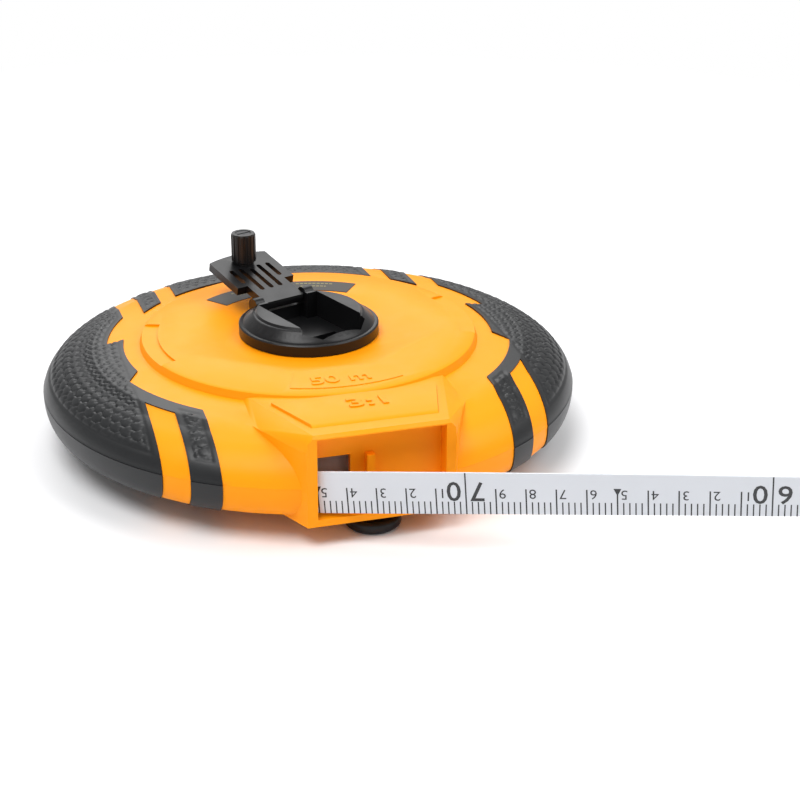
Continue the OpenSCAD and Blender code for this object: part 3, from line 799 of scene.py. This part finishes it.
marks = {
    "panelTop": 0.0403,  # height of the capacity panel
    "noseTop": 0.0411,
    "noseSlope": -4.3,  # degrees
    "capacity": {"words": "50 m", "size": 9.2, "x": -1.5, "y": -51.6, "stretch": 1.2},
    "ratio": {"words": "3:1", "size": 11.5, "x": 2.4, "y": -75.5, "stretch": 1.2},
    "depth": 0.3,
    "boldness": 0.02,
}


def raisedMark(name, m, height, slope):
    place = (
        Matrix.Translation((m["x"] * mm, m["y"] * mm, height))
        @ Matrix.Rotation(math.radians(slope), 4, "X")
        @ Matrix.Diagonal((m["stretch"] * mm, mm, mm, 1))
    )
    mesh = textMesh(m["words"], m["size"], place, marks["depth"], m["size"] * marks["boldness"])
    bm = bmesh.new()
    bm.from_mesh(mesh)
    bmesh.ops.remove_doubles(bm, verts=bm.verts, dist=0.000001)
    return newPiece(name, bm, "orangeCase", smooth=False)


labelPrint = {
    "height": seam + 0.01868,
    "rows": [  # radius, half width, from and to in degrees
        (48.4, 0.42, 8, 26),
        (45.4, 0.42, 10, 23),
    ],
    "perDegree": 2,
    "word": 4,  # steps to a word, the last one left open
}


def makeLabelPrint(m):
    bm = bmesh.new()
    for side in (-1, 1):
        for radius, half, low, high in m["rows"]:
            steps = (high - low) * m["perDegree"]
            for k in range(steps):
                if k % m["word"] == m["word"] - 1:
                    continue
                turns = [math.radians(side * (low + (high - low) * t / steps)) for t in (k, k + 1)]
                inner, outer = radius - half, radius + half
                pts = [(inner, turns[0]), (outer, turns[0]), (outer, turns[1]), (inner, turns[1])]
                if side > 0:
                    pts.reverse()
                places = [(r * math.sin(a) * mm, r * math.cos(a) * mm, m["height"]) for r, a in pts]
                bm.faces.new([bm.verts.new(place) for place in places])
    bmesh.ops.remove_doubles(bm, verts=bm.verts, dist=0.00001)
    bmesh.ops.recalc_face_normals(bm, faces=bm.faces)
    return newPiece("labelPrint", bm, "labelInk", smooth=False)


raisedMark("capacityMark", marks["capacity"], marks["panelTop"], 0)
raisedMark("ratioMark", marks["ratio"], marks["noseTop"], marks["noseSlope"])
makeLabelPrint(labelPrint)
keep("top_label", "labelFilm")


refined("crank_hub", "crankHub", "crank", "blackNylon", 0.0004)
refined("crank_arm", "crankArm", "arm", "blackNylon", 0.00035)
refined("crank_knob", "crankKnob", "knob", "blackNylon", 0.0002)
refined("foot_button", "footButton", "root", "blackNylon", 0.0004)
plainNodes = {
    "blackNylon": ["hub_retaining_ring"],
    "zincSteel": ["case_screws", "arm_hinge_pin", "planet_carrier", "planet_posts", "centre_axle",
                  "carrier_screw", "axle_screw", "foot_screw", "end_clamp", "end_ring"],
    "blackSteel": ["knob_pin"],
    "plainBrass": ["thrust_washer", "clamp_rivets"],
    "acetal": ["ring_gear", "sun_gear", "planet_gear_1", "planet_gear_2", "planet_gear_3"],
    "drumPlastic": ["drum_core", "drum_upper_flange", "drum_lower_flange"],
    "coatedTape": ["wound_tape", "tape_lead"],
    "redFelt": ["wiper_pads"],
}
for finish, nodes in plainNodes.items():
    for node in nodes:
        keep(node, finish)
print("small parts finished")


studio = {
    "floor": (0.86, 0.86, 0.87),
    "floorRadius": 4,
    "world": 0.5,
    "lamps": [  # place, size, power
        ((-0.5, -0.4, 1.4), 1.0, 16),
        ((0.9, -0.4, 1.1), 1.0, 9),
        ((0.1, 1.1, 1.0), 1.2, 9),
    ],
}


def makeWorld(s):
    world = bpy.data.worlds.new("studio")
    world.use_nodes = True
    bpy.context.scene.world = world
    tree = world.node_tree
    back = tree.nodes["Background"]
    back.inputs["Color"].default_value = tint(1, 1, 1)
    back.inputs["Strength"].default_value = s["world"]
    sky = Shading(tree)
    straight = sky.flow("ShaderNodeLightPath", out="Is Camera Ray")
    through = sky.flow("ShaderNodeLightPath", out="Is Transmission Ray")
    seen = (straight + through).clamped()
    sky.lit(seen, back, "ShaderNodeBackground", tree.nodes["World Output"])


def makeFloor(s):
    bm = bmesh.new()
    bmesh.ops.create_circle(bm, cap_ends=True, segments=96, radius=s["floorRadius"])
    mesh = bpy.data.meshes.new("floor")
    bm.to_mesh(mesh)
    bm.free()
    floor = bpy.data.objects.new("floor", mesh)
    bpy.context.collection.objects.link(floor)
    f = Finish("paleFloor", Roughness=0.6)
    at = f.flow("ShaderNodeTexCoord", out="Object")
    distance = f.flow("ShaderNodeVectorMath", {"operation": "LENGTH"}, out=1, i0=at)
    paling = (distance * 1.6 - 0.35).clamped()
    f.feed("Base Color", f.blend(paling, tint(*s["floor"]), tint(1, 1, 1)))
    straight = f.flow("ShaderNodeLightPath", out="Is Camera Ray")
    far = (distance * 2.6 - 0.62).clamped()
    f.lit(far * straight, f.shader, "ShaderNodeEmission", f.tree.nodes["Material Output"])
    mesh.materials.append(f.made)


def makeLamps(s):
    for k, (place, size, power) in enumerate(s["lamps"]):
        light = bpy.data.lights.new("lamp%d" % k, "AREA")
        light.shape, light.size, light.energy = "DISK", size, power
        lamp = bpy.data.objects.new("lamp%d" % k, light)
        lamp.location = place
        lamp.rotation_mode = "QUATERNION"
        lamp.rotation_quaternion = (-Vector(place)).to_track_quat("-Z", "Y")
        bpy.context.collection.objects.link(lamp)


makeWorld(studio)
makeFloor(studio)
makeLamps(studio)
bpy.context.scene.view_settings.view_transform = "Standard"
